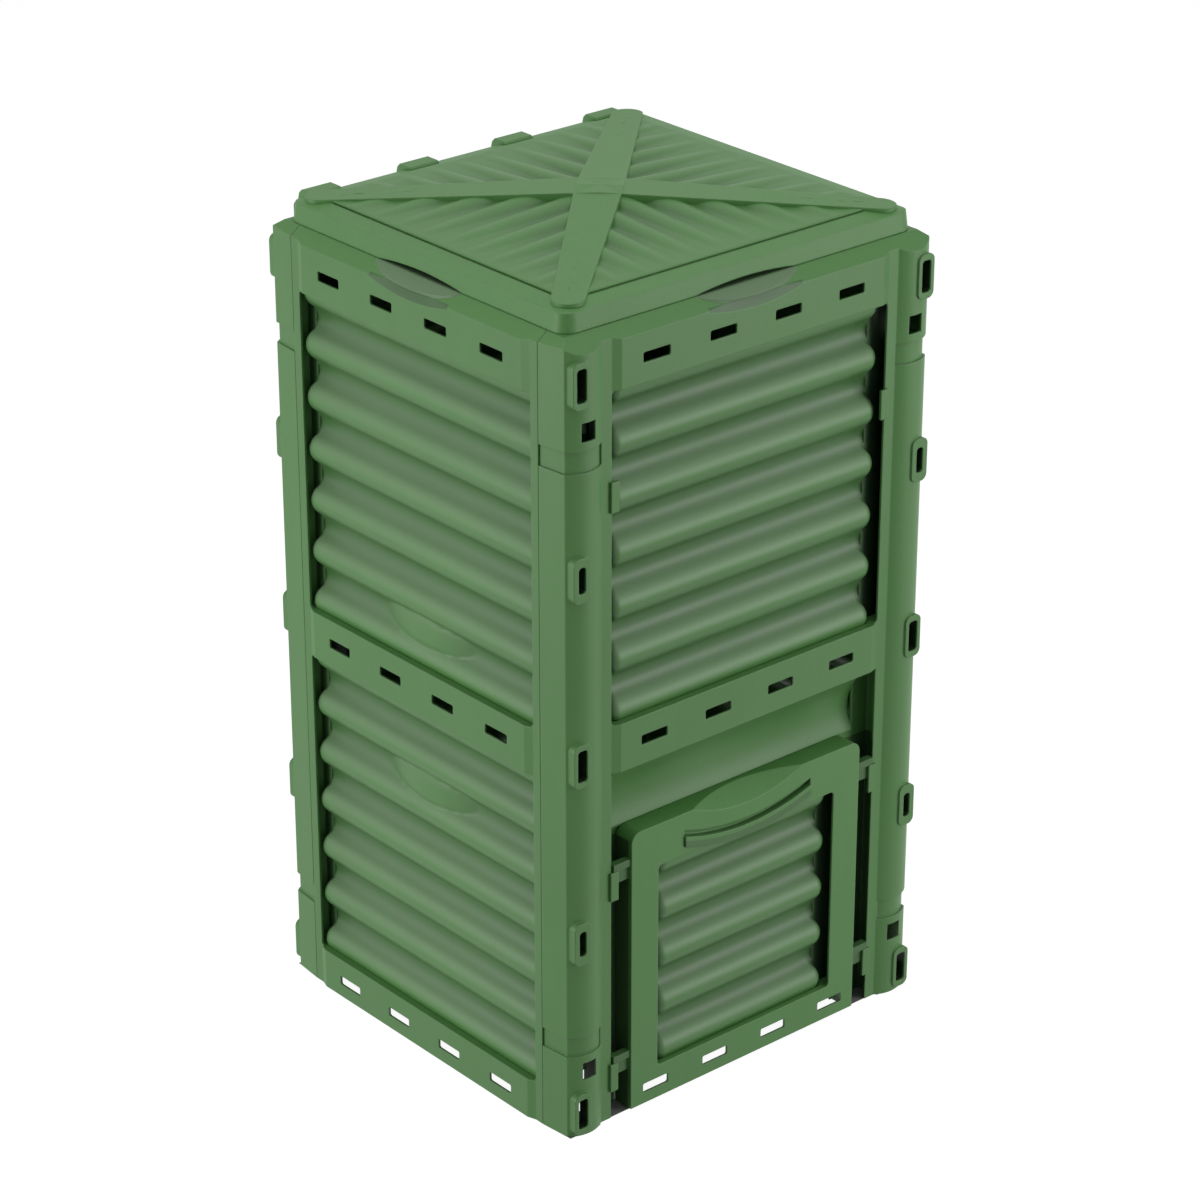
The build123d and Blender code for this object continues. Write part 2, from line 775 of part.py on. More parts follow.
def slope_ridges(half_run, half_span):
    """Ridges on the slope that faces the front; they fade out from the straps to the border."""
    radius = ridge_span ** 2 / (8 * ridge_height)
    each_side = int(ridge_reach_share * half_span / ridge_pitch)
    ridges = []
    for index in range(-each_side, each_side + 1):
        x = index * ridge_pitch
        inner_y = -abs(x) * half_run / half_span
        height = ridge_height * ((half_run + inner_y) / half_run) ** 0.5
        inner_z = apex_z + pyramid_rise * inner_y / half_run + height
        start = Vector(x, -half_run, pyramid_z)
        end = Vector(x, inner_y, inner_z)
        direction = (end - start).normalized()
        normal = Vector(0, -direction.Z, direction.Y)
        length = (end - start).length
        middle = start + direction * (length / 2) - normal * radius
        rod = Cylinder(radius, length + overrun)
        ridges.append(Plane(origin=middle, x_dir=(1, 0, 0), z_dir=direction) * rod)
    sector = polygon((0, 0), (-half_span, -half_run), (half_span, -half_run))
    sector &= Rectangle(2 * half_span, 2 * (half_run - groove_width))
    region = rise(sector, border_z - lid_skirt, apex_z + 2 * ridge_height)
    return region & (ridges[0] + ridges[1:])


def strap_plan(grow):
    """Plan of the cross brace: two tapered straps along the diagonals."""
    angle = degrees(atan2(lid_half_y, lid_half_x))
    plan = Sketch()
    for turn in (angle, 180 - angle, 180 + angle, -angle):
        middle = Circle(brace_half_width + grow).edge()
        end = (Pos(brace_reach - brace_end_half, 0) * Circle(brace_end_half + grow)).edge()
        plan += Rot(0, 0, turn) * make_hull([middle, end])
    return plan


def lid_shell():
    """Lid: skirt with three lifting arches, border, groove, ridged slopes; hollow below."""
    ridges = slope_ridges(pyramid_y, pyramid_x)
    side_ridges = slope_ridges(pyramid_x, pyramid_y)
    footprint = rise(strap_plan(fit_gap), lid_base, body_height + 2 * brace_top_rise)
    lid = lid_envelope() + pyramid(0, groove_width)
    top = pyramid_z + overrun
    ring = rise(Rectangle(2 * pyramid_x, 2 * pyramid_y), pyramid_z - lid_groove_depth, top)
    inside = Rectangle(2 * (pyramid_x - groove_width), 2 * (pyramid_y - groove_width))
    lid -= ring - rise(inside, lid_base, top) - footprint
    for turn in (0, 180):
        lid += turned(ridges, turn) - footprint
        lid += turned(side_ridges, turn + 90) - footprint
    lower = Plane.XY.offset(lid_base - wall) * RectangleRounded(
        2 * (lid_half_x - wall), 2 * (lid_half_y - wall), lid_corner - wall
    )
    inset = lid_draft + wall
    upper = Plane.XY.offset(border_z - wall) * RectangleRounded(
        2 * (lid_half_x - inset), 2 * (lid_half_y - inset), lid_corner - inset
    )
    lid -= loft([lower, upper]) + pyramid(wall, groove_width + wall)
    arch = outline(
        ThreePointArc((-scoop_half, lid_base), (0, lid_base + skirt_arch), (scoop_half, lid_base)),
        Line((scoop_half, lid_base), (-scoop_half, lid_base)),
    )
    for turn, distance in ((0, lid_half_y), (90, lid_half_x), (-90, lid_half_x)):
        lid -= turned(push(arch, -distance - wall, 3 * wall - distance), turn)
    return lid


def lid_solid_form():
    """The lid's outer form, filled in, that the brace and the hinge lugs sit on."""
    return lid_envelope() + pyramid(0, groove_width)


def cross_brace():
    """Cross brace over the lid: straps with level tops that fall from the crossing to the corners."""
    angle = degrees(atan2(lid_half_y, lid_half_x))
    top = body_height + brace_top_rise
    end = body_height + brace_end_rise
    brace = None
    for turn in (angle, -angle):
        strap = Sketch()
        for flip in (0, 180):
            middle = Circle(brace_half_width).edge()
            tip = (Pos(brace_reach - brace_end_half, 0) * Circle(brace_end_half)).edge()
            strap += Rot(0, 0, turn + flip) * make_hull([middle, tip])
        bar = rise(strap, lid_base, top)
        section = polygon(
            (-brace_reach, lid_base),
            (brace_reach, lid_base),
            (brace_reach, end),
            (0, top),
            (-brace_reach, end),
        )
        bar &= turned(run_x(section, 2 * brace_half_width), turn - 90)
        brace = bar if brace is None else brace + bar
    return brace - lid_solid_form()


def knuckle_places():
    """Middles of the hinge knuckles along the back."""
    return [(index - (knuckle_count - 1) / 2) * knuckle_pitch for index in range(knuckle_count)]


def lid_hinge_knuckles():
    """Chamfered lugs on the lid's back edge, each ending in a barrel round its hinge pin."""
    top = body_height + knuckle_rise
    front = hinge_y - knuckle_reach
    back = hinge_y + knuckle_tail
    section = polygon(
        (front, border_z - border_rise),
        (front, top - knuckle_chamfer),
        (front + knuckle_chamfer, top),
        (back - knuckle_chamfer, top),
        (back, top - knuckle_chamfer),
        (hinge_y + barrel_radius, hinge_z),
        (hinge_y, hinge_z),
        (hinge_y - barrel_radius / 2, hinge_z - barrel_radius / 2),
        (lid_half_y - lid_draft, hinge_z - barrel_radius / 2),
    )
    section += Pos(hinge_y, hinge_z) * Circle(barrel_radius)
    section -= Pos(hinge_y, hinge_z) * Circle(pin_radius + pin_play)
    seat = lid_solid_form() + rise(strap_plan(fit_gap), lid_base, body_height + brace_top_rise)
    knuckles = [Pos(x, 0, 0) * run_x(section, knuckle_width / 2) - seat for x in knuckle_places()]
    return Compound(knuckles)


def hinge_ears():
    """Pairs of ears on the back wall's shoulder, one pair beside each knuckle."""
    foot_z = body_height - ear_foot
    half_profile = make_hull(
        [
            (Pos(hinge_y, hinge_z) * Circle(barrel_radius)).edge(),
            Line((hinge_y - ear_foot_reach, foot_z), (hinge_y + barrel_radius, foot_z)),
        ]
    )
    section = half_profile - Pos(hinge_y, hinge_z) * Circle(pin_radius + pin_play)
    under = turned(run_x(shoulder(half_y, 0), half_x), 180)
    ears = []
    for x in knuckle_places():
        for side in (-1, 1):
            offset = side * (knuckle_width / 2 + ear_gap + ear_width / 2)
            ears.append(Pos(x + offset, 0, 0) * run_x(section, ear_width / 2) - under)
    return Compound(ears)


def hinge_pins():
    """Four round pins through the ears and knuckles."""
    length = knuckle_width + 2 * (ear_gap + ear_width + pin_stub)
    pin = Rot(0, 90, 0) * Cylinder(pin_radius, length)
    return Compound([Pos(x, hinge_y, hinge_z) * pin for x in knuckle_places()])


def left_panel():
    """Left wall, with the plain pads."""
    return turned(add_pads(side_wall()), -90)


def right_panel():
    """Right wall."""
    return turned(side_wall(), 90)


nodes = {
    "front_panel": front_panel,
    "back_panel": back_panel,
    "left_panel": left_panel,
    "right_panel": right_panel,
    "left_panel_hooks": lambda: panel_hooks(-1),
    "right_panel_hooks": lambda: panel_hooks(1),
    "left_latch_tongues": lambda: latch_tongues(-1),
    "right_latch_tongues": lambda: latch_tongues(1),
    "door_guide_tabs": door_guide_tabs,
    "door": door_panel,
    "door_lugs": door_lugs,
    "door_handle": door_handle,
    "lid": lid_shell,
    "lid_cross_brace": cross_brace,
    "lid_hinge_knuckles": lid_hinge_knuckles,
    "hinge_ears": hinge_ears,
    "hinge_pins": hinge_pins,
}

os.makedirs("parts", exist_ok=True)
for name, make in nodes.items():
    export_step(make(), f"parts/{name}.step")
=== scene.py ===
import math
import bpy
import numpy as np
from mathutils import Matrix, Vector


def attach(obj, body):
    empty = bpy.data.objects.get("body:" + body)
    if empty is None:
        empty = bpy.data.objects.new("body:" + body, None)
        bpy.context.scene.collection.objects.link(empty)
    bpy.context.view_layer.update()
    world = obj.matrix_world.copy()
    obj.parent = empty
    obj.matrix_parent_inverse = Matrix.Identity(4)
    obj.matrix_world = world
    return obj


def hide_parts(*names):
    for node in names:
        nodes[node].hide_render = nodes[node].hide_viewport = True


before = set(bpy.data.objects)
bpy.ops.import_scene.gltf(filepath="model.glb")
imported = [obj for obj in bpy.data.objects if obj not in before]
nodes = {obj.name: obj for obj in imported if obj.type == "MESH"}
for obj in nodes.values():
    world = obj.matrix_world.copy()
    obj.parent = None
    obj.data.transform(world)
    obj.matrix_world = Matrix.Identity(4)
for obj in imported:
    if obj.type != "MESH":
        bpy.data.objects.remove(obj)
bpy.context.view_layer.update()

# Colours as linear RGB
LEAF_PALE = (0.116, 0.294, 0.086, 1.0)
LEAF_DEEP = (0.073, 0.216, 0.051, 1.0)
SHEEN_AND_HIGHLIGHT = (0.218, 0.352, 0.190, 1.0)             # painted sheen on upper sides and painted highlight along edges
PAINTED_SHADE = (0.014, 0.034, 0.013, 1.0)              # painted shade in hollows, in gaps and in coves
SHELF_PAINTED_GREY = (0.150, 0.205, 0.136, 1.0)        # painted grey tone that stands in for the light on the hand scoops' shelves
# painted shade deep in the bosses' slots
SLOT_SHADE = (0.004, 0.008, 0.004, 1.0)
WHITE = (1.0, 1.0, 1.0, 1.0)

# How far the painted highlight reaches from the edges of broad mouldings, of lugs and clips, and of the pins, in
# metres
BROAD_EDGE, SMALL_EDGE, PIN_EDGE = 0.0022, 0.0012, 0.0006

# Sizes in metres, as the CAD nodes have them
STILE_X, STILE_Y, DOOR_Y = 0.296, 0.280, 0.285           # faces of the side walls, of front and back, of the door
WALL = 0.003
CREST, WAVE, LENS = 0.005, 0.018, 0.003                  # crests behind the face, wave, troughs behind the strips
STRIP = CREST + WAVE - LENS                              # side strips behind the face
WINDOWS = ((0.056, 0.4875), (0.5525, 0.984))             # foot and head of a wall's windows
DOOR_WINDOW = (0.050, 0.338)
DOOR_HALF, DOOR_BACK, DOOR_FOOT = 0.193, 0.255, 0.003
PAD_HALF, PAD_RISE, PAD_SINK = 0.095, 0.0225, 0.009
PAD_LEVELS = (0.379, 0.5955)

# A window's sheet: first crest above the foot, pitch, half lengths to the noses, the lens line and the strips' ends
FRONT_SHAPE = (0.008, 0.070, 0.217, 0.208, 0.240)
SIDE_SHAPE = (0.008, 0.070, 0.229, 0.215, 0.2322)
DOOR_SHAPE = (0.012, 0.068, 0.145, 0.137, 0.190)

# Lid: half lengths to the groove's outer side; level at the groove, rise to the crossing, the groove's width
LID_X, LID_Y = 0.253, 0.237
LID_LOW, LID_RISE, LID_GROOVE = 1.090, 0.009, 0.003
RIDGE_PITCH, RIDGE_HEIGHT, RIDGE_SPAN = 0.043, 0.008, 0.042
LAST_RIDGE = 0.92                                        # no ridge stands further out than this share of the side
RIDGE_FILLET = 0.0007
LID_SKIN = 0.002

# Places of the colour marks in metres, where shade and a grey tone are painted; a pair in brackets is the middle of
# a range and half its length
BOSS_X, BOSS_LOW, BOSS_PITCH = 0.2763, 0.0332, 0.2436    # bosses: across, the lowest one's height, pitch
SLOT_HALF, SLOT_RISE = 0.0077, 0.0215                    # half width and half height
SLOT_MOUTH, SLOT_END = 0.2885, 0.262                     # outer and inner end of the painted shade
GAP_X, GAP_Y, GAP_TOP = (0.2165, 0.0240), (-0.2600, 0.0190), 0.385
SCOOP_HALF, SCOOP_REACH = 0.0800, 0.0222                 # half axes of the half moons
SCOOP_FRONT, SCOOP_SIDE = 0.2620, 0.2780                 # their centres, from the bin's middle
SHELF_Z = (1.0560, 0.0052)
COVE_HALF, COVE_Z = 0.0750, (1.0410, 0.0087)
COVE_FRONT, COVE_SIDE = (-0.2740, 0.0098), (0.2900, 0.0098)
GRIP_HALF, GRIP_RISE = 0.107, 0.018                      # the grip's arc: half width, and its rise over that
LEDGE_Z, LEDGE_RIM = 0.3460, 0.0052                      # arc's height in the middle, start of the painted shadow below it
LEDGE_SHARPNESS = 900.0                                  # the painted shadow is full after a 900th of a metre
COLUMN_X, COLUMN_Y = (0.2665, 0.0250), (0.2608, 0.0227)  # floor inside the columns, without glow as painted shade
BEHIND_X, BEHIND_Y = (0.2165, 0.0275), (0.2605, 0.0180)  # floor behind the door's side gaps, without glow as painted shade

# Studio: half the floor's size, its level and its grey; its glow for the camera; the surround's light on the bin
FLOOR_HALF, FLOOR_LEVEL, FLOOR_GREY = 14.0, -0.0004, 0.28
FLOOR_GLOW, SURROUND = 0.95, 0.10


class Wire:
    """A shader socket that adds its Math nodes when it is used in an expression."""

    def __init__(self, tree, socket):
        self.tree = tree
        self.socket = socket

    def _math(self, operation, *values):
        node = self.tree.nodes.new("ShaderNodeMath")
        node.operation = operation
        for slot, value in enumerate(values):
            if isinstance(value, Wire):
                self.tree.links.new(value.socket, node.inputs[slot])
            else:
                node.inputs[slot].default_value = value
        return Wire(self.tree, node.outputs[0])

    def __add__(self, other):
        return self._math("ADD", self, other)

    def __radd__(self, other):
        return self._math("ADD", other, self)

    def __sub__(self, other):
        return self._math("SUBTRACT", self, other)

    def __rsub__(self, other):
        return self._math("SUBTRACT", other, self)

    def __mul__(self, other):
        return self._math("MULTIPLY", self, other)

    def __rmul__(self, other):
        return self._math("MULTIPLY", other, self)

    def size(self):
        return self._math("ABSOLUTE", self)

    def squared(self):
        return self._math("MULTIPLY", self, self)

    def below(self, limit):
        """1 where the value is less than limit, else 0."""
        return self._math("LESS_THAN", self, limit)

    def within(self, middle, half):
        """1 where the value is less than half away from middle, else 0."""
        return (self - middle).size().below(half)

    def wrapped(self, pitch):
        """Distance to the nearest whole multiple of pitch."""
        return self._math("PINGPONG", self, pitch / 2)

    def clamped(self):
        node = self.tree.nodes.new("ShaderNodeClamp")
        self.tree.links.new(self.socket, node.inputs[0])
        return Wire(self.tree, node.outputs[0])


class Finish:
    """One node material. make() adds any node: its settings first, then its sockets' values or links."""

    def __init__(self, name, owner=None):
        self.material = owner or bpy.data.materials.new(name)
        self.material.use_nodes = True
        self.tree = self.material.node_tree
        self.tree.nodes.clear()

    def make(self, kind, settings=None, inputs=None, output=0):
        node = self.tree.nodes.new("ShaderNode" + kind)
        for key, value in (settings or {}).items():
            setattr(node, key, value)
        for key, value in (inputs or {}).items():
            if isinstance(value, Wire):
                self.tree.links.new(value.socket, node.inputs[key])
            else:
                node.inputs[key].default_value = value
        return Wire(self.tree, node.outputs[output]) if len(node.outputs) else None

    def place(self):
        """The point on the object."""
        return self.make("TexCoord", None, None, "Object")

    def axes(self, vector):
        """The three numbers of a vector."""
        return tuple(self.make("SeparateXYZ", None, {"Vector": vector}, axis) for axis in range(3))

    def seen_ray(self):
        """1 for a ray of the camera, of a gloss or of clear plastic, else 0."""
        camera, gloss, clear = (
            self.make("LightPath", None, None, f"Is {kind} Ray") for kind in ("Camera", "Glossy", "Transmission")
        )
        return (camera + gloss + clear).clamped()

    def mix(self, factor, a, b):
        """Colour between a and b."""
        return self.make("Mix", {"data_type": "RGBA"}, {"Factor": factor, "A": a, "B": b}, 2)

    def noise(self, place, scale, detail):
        """Noise of one number, from 0 to 1."""
        inputs = {"Vector": place, "Scale": scale, "Detail": detail, "Roughness": 0.55}
        return self.make("TexNoise", {"noise_dimensions": "3D"}, inputs)


def shaded(colour, share):
    """The colour with its three channels multiplied by share."""
    return tuple(channel * share for channel in colour[:3]) + (1.0,)


def slot_depths(x, y, z):
    """1 inside the bosses' slots, from 2.5 mm behind their faces, and 0 elsewhere: where the slots get painted
    shade.
    """
    across = x.size().within(BOSS_X, SLOT_HALF)
    upright = (z - BOSS_LOW).wrapped(BOSS_PITCH).below(SLOT_RISE)
    deep = y.size().below(SLOT_MOUTH) * (1.0 - y.size().below(SLOT_END))
    return across * upright * deep


def door_gap(x, y, z):
    """1 on what stands beside the door, behind the wall's face and below the door's top, and 0 elsewhere: where the
    gap gets painted shade.
    """
    return x.size().within(*GAP_X) * y.within(*GAP_Y) * z.below(GAP_TOP)


def scoop_shelf(x, y, z):
    """1 on the half-moon shelves of the hand scoops: inside an ellipse at the front and at each side. These get a
    painted grey tone.
    """
    front = (x * (1 / SCOOP_HALF)).squared() + ((y + SCOOP_FRONT) * (1 / SCOOP_REACH)).squared()
    side = (y * (1 / SCOOP_HALF)).squared() + ((x.size() - SCOOP_SIDE) * (1 / SCOOP_REACH)).squared()
    return (front.below(1.0) + side.below(1.0)).clamped() * z.within(*SHELF_Z)


def scoop_cove(x, y, z):
    """1 in the shallow coves below the shelves, from 0.2 mm behind the bands' faces: where the coves get painted
    shade.
    """
    front = x.size().below(COVE_HALF) * y.within(*COVE_FRONT)
    side = y.size().below(COVE_HALF) * x.size().within(*COVE_SIDE)
    return (front + side).clamped() * z.within(*COVE_Z)


def under_ledge(x, _, z):
    """1 on the handle below its finger ledge's upper rim, whose height follows the grip's arc as x squared: where
    it gets a painted shadow.
    """
    arc = x.squared() * (GRIP_RISE / GRIP_HALF ** 2) + LEDGE_Z
    return ((arc - z - LEDGE_RIM) * LEDGE_SHARPNESS).clamped()


def moulded_green(name, roughness, tint, edge_radius, sheen_share=0.0, shady=0.3, top_shade=0.0, shade_hollows=False, marks=()):
    """Moulded polypropylene: mottled leaf green, fine spark grain, painted highlights on edges, painted shade on
    undersides.

    The tint multiplies both leaf greens, and the edge radius is how far the painted highlight reaches from an edge.
    Upper sides get painted sheen, a pale chalky film, and painted shade, and undersides painted shade, each by the
    share given. With the flag for hollows set, the piece's own attribute paints shade in troughs and at ridge ends.
    Each mark is a function of place that is 1 where the mark is, a strength and a colour.
    """
    finish = Finish(name)
    place = finish.place()
    facing = finish.make("TexCoord", None, None, "Normal")
    rounded = finish.make("Bevel", {"samples": 6}, {"Radius": edge_radius})
    smooth = finish.make("NewGeometry", None, None, "Normal")
    flat_share = finish.make("VectorMath", {"operation": "DOT_PRODUCT"}, {0: rounded, 1: smooth}, "Value")
    edge = ((1.0 - flat_share) * 5.0).clamped()

    clouds = finish.noise(place, scale=7.0, detail=3.0)
    streaked = finish.make("Mapping", None, {"Vector": place, "Scale": (34.0, 34.0, 5.0)})
    streaks = finish.noise(streaked, scale=1.0, detail=4.0)
    speckle = finish.noise(place, scale=420.0, detail=2.0)
    fine = finish.noise(place, scale=1500.0, detail=2.0)

    rise = finish.axes(facing)[2]                        # 1 where the surface faces up, -1 where it faces down
    upper = ((rise + 0.05) * 1.5).clamped()
    under = ((-0.12 - rise) * 1.6).clamped()
    mottle = (clouds * 0.55 + streaks * 0.35 + speckle * 0.35 - 0.13).clamped()
    # painted sheen: a pale chalky film on upper sides, by the share given
    sheen = (upper * (sheen_share + (speckle - 0.5) * 0.35)).clamped()
    body = finish.mix(mottle, shaded(LEAF_DEEP, tint), shaded(LEAF_PALE, tint))
    body = finish.mix(sheen, body, SHEEN_AND_HIGHLIGHT)
    if top_shade:
        # painted shade on upper sides
        body = finish.mix(upper * top_shade, body, shaded(LEAF_DEEP, 0.72))
    if shade_hollows:
        # painted shade in hollows, from the piece's own attribute
        hollow_shade = finish.make("Attribute", {"attribute_name": "hollow_shade"}, None, "Fac")
        body = finish.mix(hollow_shade, body, PAINTED_SHADE)
    # painted shade on undersides
    body = finish.mix(under * shady, body, shaded(LEAF_DEEP, 0.50))
    # painted highlight along the edges
    body = finish.mix(edge * 0.50, body, SHEEN_AND_HIGHLIGHT)
    for where, strength, colour in marks:
        body = finish.mix(where(*finish.axes(place)) * strength, body, colour)

    gloss = roughness + (clouds - 0.5) * 0.10 + (fine - 0.5) * 0.06 + upper * 0.05
    grain = {"Height": fine * 0.7 + speckle * 0.5, "Strength": 0.10, "Distance": 0.0006, "Normal": rounded}
    surface = finish.make("BsdfPrincipled", None, {
        "Base Color": body, "Roughness": gloss, "Normal": finish.make("Bump", None, grain), "IOR": 1.49,
    })
    finish.make("OutputMaterial", None, {"Surface": surface})
    return finish.material


# Walls: painted shade on upper sides, beside the door, in the coves and deep in the slots; painted grey on the
# scoops' shelves
wall_green = moulded_green("wall_green", roughness=0.46, tint=0.97, edge_radius=BROAD_EDGE, top_shade=0.40, marks=(
    (door_gap, 0.75, PAINTED_SHADE),
    (scoop_shelf, 0.62, SHELF_PAINTED_GREY),
    (scoop_cove, 0.55, PAINTED_SHADE),
    (slot_depths, 0.93, SLOT_SHADE),
))
# Sheets: painted sheen on upper sides, painted shade on undersides and in the hollows
sheet_green = moulded_green(
    "sheet_green", roughness=0.44, tint=1.06, edge_radius=BROAD_EDGE, sheen_share=0.66, shady=0.55, shade_hollows=True
)
# Lid: a little painted sheen on upper sides; slopes: painted shade in the hollows between the ridges
lid_green = moulded_green("lid_green", roughness=0.50, tint=0.96, edge_radius=BROAD_EDGE, sheen_share=0.04)
slope_green = moulded_green(
    "slope_green", roughness=0.48, tint=0.93, edge_radius=BROAD_EDGE, sheen_share=0.03, shade_hollows=True
)
# Door: painted shade on upper sides and in the gap beside it
door_green = moulded_green("door_green", roughness=0.46, tint=1.06, edge_radius=BROAD_EDGE, top_shade=0.12, marks=(
    (door_gap, 0.70, PAINTED_SHADE),
))
# Handle: painted shade on upper sides and a painted shadow below the finger ledge
handle_green = moulded_green("handle_green", roughness=0.46, tint=1.06, edge_radius=BROAD_EDGE, top_shade=0.6, marks=(
    (under_ledge, 0.50, shaded(LEAF_DEEP, 0.30)),
))
# Lugs and clips: the same green darkened as painted shade
shaded_lug_green = moulded_green("shaded_lug_green", roughness=0.50, tint=0.55, edge_radius=SMALL_EDGE)
shaded_clip_green = moulded_green("shaded_clip_green", roughness=0.55, tint=0.30, edge_radius=SMALL_EDGE)
pin_green = moulded_green("pin_green", roughness=0.40, tint=0.88, edge_radius=PIN_EDGE)


def dressed(piece, body):
    """Gives a piece the body that it rides on."""
    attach(piece, body)


def welded_copy(node, name, finish, skipped=None):
    """Copy of a CAD node as one welded surface with the node's own normals.

    The corners' places are rounded to 10 micrometres and equal ones become one vertex; each corner of
    each triangle keeps the normal it had. Triangles that skipped() names are left out.
    """
    source = nodes[node].data
    count = len(source.polygons)
    place = np.zeros(len(source.vertices) * 3, np.float32)
    corner = np.zeros(count * 3, np.int32)
    normal = np.zeros(count * 9, np.float32)
    source.vertices.foreach_get("co", place)
    source.loops.foreach_get("vertex_index", corner)
    source.corner_normals.foreach_get("vector", normal)
    place = place.reshape(-1, 3)
    corner = corner.reshape(-1, 3)
    normal = normal.reshape(-1, 3, 3)
    if skipped is not None:
        triangles = place[corner]
        flat = np.cross(triangles[:, 1] - triangles[:, 0], triangles[:, 2] - triangles[:, 0])
        flat /= np.maximum(np.linalg.norm(flat, axis=1, keepdims=True), 1e-12)
        kept = ~skipped(triangles, flat)
        corner, normal = corner[kept], normal[kept]
    used, welded = np.unique(np.round(place[corner.ravel()], 5), axis=0, return_inverse=True)
    faces = welded.reshape(-1, 3)
    whole = (faces[:, 0] != faces[:, 1]) & (faces[:, 1] != faces[:, 2]) & (faces[:, 2] != faces[:, 0])
    faces, normal = faces[whole], normal[whole]
    mesh = bpy.data.meshes.new(name)
    mesh.from_pydata(used.tolist(), [], faces.tolist())
    mesh.materials.append(finish)
    mesh.shade_smooth()
    mesh.normals_split_custom_set(normal.reshape(-1, 3).tolist())
    piece = bpy.data.objects.new(name, mesh)
    bpy.context.scene.collection.objects.link(piece)
    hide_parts(node)
    return piece


def surface(name, grid, finish, thickness=None, hollow_shade=None):
    """Mesh over a grid of points, rows by columns by three; a wall thickness goes on behind it."""
    rows, columns = grid.shape[:2]
    index = np.arange(rows * columns).reshape(rows, columns)
    quads = np.stack([index[:-1, :-1], index[:-1, 1:], index[1:, 1:], index[1:, :-1]], -1).reshape(-1, 4)
    mesh = bpy.data.meshes.new(name)
    mesh.from_pydata(grid.reshape(-1, 3).tolist(), [], quads.tolist())
    mesh.materials.append(finish)
    mesh.shade_smooth()
    mesh.set_sharp_from_angle(angle=math.radians(40))
    if hollow_shade is not None:
        mesh.attributes.new("hollow_shade", "FLOAT", "POINT").data.foreach_set("value", hollow_shade.ravel().astype(np.float32))
    piece = bpy.data.objects.new(name, mesh)
    bpy.context.scene.collection.objects.link(piece)
    if thickness:
        wall = piece.modifiers.new("wall", "SOLIDIFY")
        wall.thickness = thickness
        wall.offset = -1.0
    return piece


def on_wall(side, along, depth, height, distance):
    """Points on a wall, from their place along it, depth behind its face, height, and the face's distance."""
    flat = {
        "front": (along, depth - distance),
        "back": (-along, distance - depth),
        "left": (depth - distance, -along),
        "right": (distance - depth, along),
    }[side]
    return np.stack([flat[0], flat[1], height], -1)


def wave_depth(z, first, pitch):
    """Depth of the wavy skin: an arc of one radius round each crest, met by the same arc round each trough."""
    quarter = pitch / 4
    radius = (quarter ** 2 + (WAVE / 2) ** 2) / WAVE
    from_crest = np.abs((z - first + pitch / 2) % pitch - pitch / 2)
    near = CREST + radius - np.sqrt(radius ** 2 - np.minimum(from_crest, quarter) ** 2)
    from_trough = pitch / 2 - from_crest
    far = CREST + WAVE - radius + np.sqrt(radius ** 2 - np.minimum(from_trough, quarter) ** 2)
    return np.where(from_crest < quarter, near, far)


def ridged_sheet(name, side, low, high, distance, shape, pad=None):
    """Corrugated sheet of a window.

    Along z runs the wave; towards both ends each ridge closes like the end of a sausage: its height
    above the side strip becomes the root of (its own height squared less the run past the nose's start
    squared). Troughs lie deeper than the strip up to the lens line, where a small step brings them up.
    A pad at the height pad is an arc across the sheet that stands out of the trough, rounded off upwards
    and downwards, so that it shows as a lens. The attribute dip grows with the depth and, as the square
    of the run, over the last 22 mm of each ridge.
    """
    first, pitch, nose_half, lens_half, strip_half = shape
    nose = STRIP - CREST
    nose_steps, pitch_steps, pad_steps = 22, 28, 61
    lap, step, end_run = 0.0005, 0.00005, 0.022
    ends = np.concatenate([
        np.linspace(nose_half, nose_half - nose, nose_steps),
        [lens_half + step, lens_half - step],
    ])
    across = np.linspace(-PAD_HALF, PAD_HALF, pad_steps) if pad else []
    u = np.unique(np.concatenate([ends, -ends, [strip_half, -strip_half], across]))
    z = np.linspace(low - lap, high + lap, int((high - low) / pitch * pitch_steps))
    along, height = np.meshgrid(u, z)
    wave = wave_depth(height, low + first, pitch)
    stand = (STRIP - wave) / nose
    run = np.clip((np.abs(along) - (nose_half - nose)) / nose, 0, 1)
    closed = np.sqrt(np.clip(np.clip(stand, 0, None) ** 2 - run ** 2, 0, None))
    depth = np.where(stand > 0, STRIP - closed * nose, wave)
    depth = np.where(np.abs(along) > lens_half, np.minimum(depth, STRIP), depth)
    if pad:
        arc = PAD_SINK + (CREST + WAVE + WALL - PAD_SINK) * (along / PAD_HALF) ** 2
        arc += 0.004 * ((height - pad) / PAD_RISE) ** 4
        inside = (np.abs(height - pad) < PAD_RISE) & (np.abs(along) < PAD_HALF)
        depth = np.where(inside, np.minimum(depth, arc), depth)
    end = np.clip((np.abs(along) - nose_half + end_run) / end_run, 0, 1) ** 2
    # painted shade: darker deeper in the troughs and over each ridge's last 22 mm
    hollow_shade = np.clip(0.34 * np.clip((depth - CREST) / WAVE, 0, 1) ** 1.5 + 0.85 * end, 0, 1)
    return surface(name, on_wall(side, along, depth, height, distance), sheet_green, WALL, hollow_shade)


